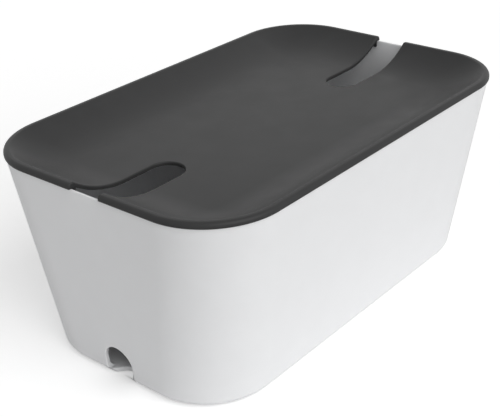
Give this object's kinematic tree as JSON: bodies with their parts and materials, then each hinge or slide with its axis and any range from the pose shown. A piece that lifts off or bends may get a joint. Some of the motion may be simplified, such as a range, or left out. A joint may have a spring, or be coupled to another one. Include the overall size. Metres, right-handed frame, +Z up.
{
  "type": "cable management box",
  "caption": "Box with leaning white walls that hides a power strip, with a dark dished lid that lifts off, slots for leads in its ends and cable outlets at its base.",
  "frame": {"origin": "centre of the bounding box at the table, under the middle of the tub", "axes": "+X along the box's length, +Y across its width, +Z up from the table"},
  "size_m": [0.305, 0.198, 0.1335],
  "materials": {
    "tub": "white moulded plastic with a satin surface",
    "lid": "charcoal plastic with a matte soft-touch surface",
    "feet": "black non-slip rubber"
  },
  "bodies": {
    "tub": {"tub": "tub", "foot_1": "feet", "foot_2": "feet", "foot_3": "feet", "foot_4": "feet"},
    "lid": {"lid": "lid"}
  },
  "joints": [
    {"name": "lid_lift", "type": "slide", "parent": "tub", "child": "lid", "axis": [0, 0, 1], "range_m": [0, 0.06]}
  ]
}
